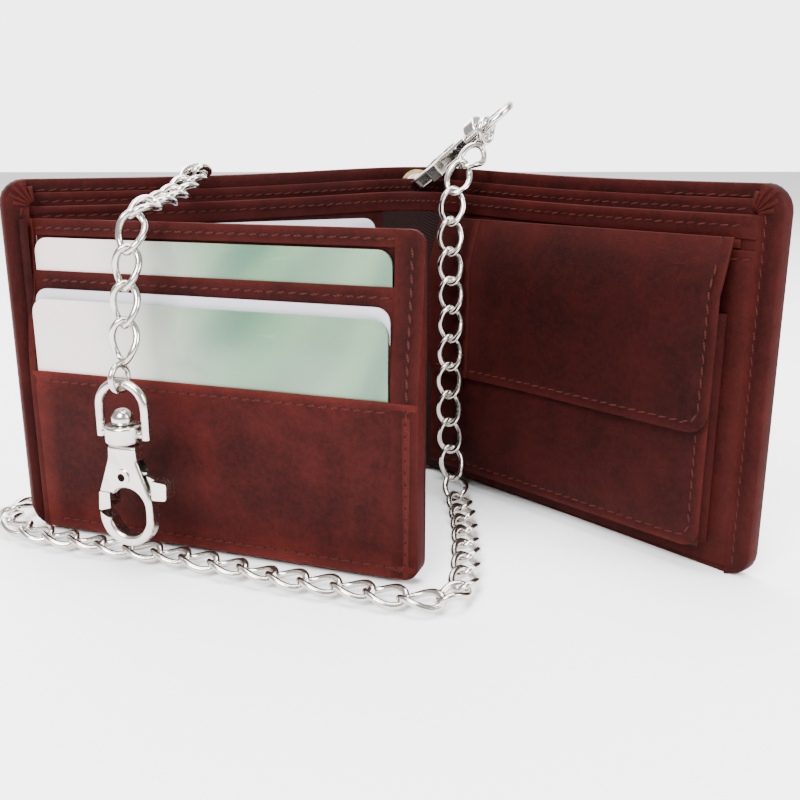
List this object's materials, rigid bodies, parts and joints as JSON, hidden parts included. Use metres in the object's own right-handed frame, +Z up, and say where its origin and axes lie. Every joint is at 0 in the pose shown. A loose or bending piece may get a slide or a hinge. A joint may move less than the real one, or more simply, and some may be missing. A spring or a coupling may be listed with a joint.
{
  "type": "chain wallet",
  "caption": "Bifold leather wallet standing open, with a flip-out card flap, coin pocket, and a curb chain clipped on by swivel snap hooks.",
  "frame": {"origin": "foot of the spine, midway through its leather, on the surface the wallet stands on", "axes": "+Z up along the spine, +X to the right along the opened wallet, -Y to the open front"},
  "size_m": [0.1732, 0.1012, 0.1003],
  "materials": {
    "leather": "oiled, pulled-up, reddish brown",
    "lining": "fine dark twill",
    "hook_metal": "bright nickel plate",
    "chain_metal": null,
    "eyelet_metal": "polished",
    "spring_wire": "bare wire",
    "card_printed": "plain pale card with a soft green band",
    "card_grey": "plain grey card"
  },
  "bodies": {
    "left_side": {"cover_left": "leather", "bill_lining_left": "lining", "bill_divider_left": "leather", "inner_panel_left": "leather", "bottom_seam_left": "leather", "side_binding_left": "leather", "slip_pocket_left": "leather", "wing_hinge_strip": "leather", "spine_cover": "leather", "spine_lining": "lining", "spine_eyelet": "eyelet_metal", "spine_washer": "eyelet_metal", "rear_hook": "hook_metal", "rear_swivel_stud": "hook_metal", "rear_lever_pin": "hook_metal", "rear_lever_spring": "spring_wire", "rear_end_link": "hook_metal", "chain_main": "chain_metal", "chain_bridge": "chain_metal"},
    "right_side": {"cover_right": "leather", "bill_lining_right": "lining", "bill_divider_right": "leather", "inner_panel_right": "leather", "bottom_seam_right": "leather", "side_binding_right": "leather", "back_pocket_right": "leather", "coin_gusset": "leather", "coin_pocket_front": "leather", "flap_tuck_strip": "leather"},
    "coin_flap": {"coin_flap": "leather", "coin_flap_lining": "lining"},
    "card_wing": {"wing_back": "leather", "wing_border_right": "leather", "wing_border_left": "leather", "wing_border_top": "leather", "card_slot_lower": "leather", "card_slot_middle": "leather", "card_slot_upper": "leather"},
    "card_front": {"card_front": "card_printed"},
    "card_middle": {"card_middle": "card_grey"},
    "card_top": {"card_top": "card_printed"},
    "card_left": {"card_left": "card_grey"},
    "front_drop": {"chain_front_drop": "chain_metal", "front_end_link": "hook_metal"},
    "front_loop": {"front_loop": "hook_metal"},
    "front_hook": {"front_hook": "hook_metal", "front_swivel_stud": "hook_metal", "front_lever_pin": "hook_metal", "front_lever_spring": "spring_wire"},
    "front_lever": {"front_gate_lever": "hook_metal"},
    "rear_loop": {"rear_loop": "hook_metal"},
    "rear_lever": {"rear_gate_lever": "hook_metal"}
  },
  "joints": [
    {"name": "spine_fold", "type": "hinge", "parent": "left_side", "child": "right_side", "pos_m": [0.00098, 0.00462, 0], "axis": [0, 0, 1], "range_deg": [0, 75]},
    {"name": "coin_flap_hinge", "type": "hinge", "parent": "right_side", "child": "coin_flap", "pos_m": [0.03479, -0.05294, 0.0704], "axis": [-0.6494, 0.7604, 0], "range_deg": [0, 85]},
    {"name": "wing_hinge", "type": "hinge", "parent": "left_side", "child": "card_wing", "pos_m": [-0.08764, -0.04638, 0], "axis": [0, 0, 1], "range_deg": [0, 44], "deforming": ["chain_bridge"]},
    {"name": "card_front_slide", "type": "slide", "parent": "card_wing", "child": "card_front", "axis": [0, 0, 1], "range_m": [0, 0.014]},
    {"name": "card_middle_slide", "type": "slide", "parent": "card_wing", "child": "card_middle", "axis": [0, 0, 1], "range_m": [0, 0.012]},
    {"name": "card_top_slide", "type": "slide", "parent": "card_wing", "child": "card_top", "axis": [0, 0, 1], "range_m": [0, 0.0015]},
    {"name": "card_left_slide", "type": "slide", "parent": "left_side", "child": "card_left", "axis": [0.9092, 0.4163, 0], "range_m": [0, 0.0015]},
    {"name": "front_drop_swing", "type": "hinge", "parent": "card_wing", "child": "front_drop", "pos_m": [-0.0587, -0.058, 0.0773], "axis": [-0.9336, 0.3584, 0], "range_deg": [0, 60]},
    {"name": "front_loop_swing", "type": "hinge", "parent": "front_drop", "child": "front_loop", "pos_m": [-0.06454, -0.0727, 0.04165], "axis": [0.3584, 0.9336, 0], "range_deg": [-12, 12]},
    {"name": "front_hook_swivel", "type": "hinge", "parent": "front_loop", "child": "front_hook", "pos_m": [-0.06454, -0.0727, 0.029], "axis": [0, 0, 1], "continuous": true},
    {"name": "front_gate", "type": "hinge", "parent": "front_hook", "child": "front_lever", "pos_m": [-0.06454, -0.0727, 0.0216], "axis": [-0.3584, -0.9336, 0], "range_deg": [0, 22], "stiffness_Nm_per_rad": 0.02, "springref_deg": -20.05},
    {"name": "rear_loop_swivel", "type": "hinge", "parent": "left_side", "child": "rear_loop", "pos_m": [0.01379, -0.01138, 0.09159], "axis": [0.6334, -0.5345, 0.5595], "range_deg": [0, 6]},
    {"name": "rear_gate", "type": "hinge", "parent": "left_side", "child": "rear_lever", "pos_m": [0.0091, -0.00743, 0.08745], "axis": [-0.662, 0, 0.7495], "range_deg": [0, 3], "stiffness_Nm_per_rad": 0.02, "springref_deg": -20.05}
  ]
}
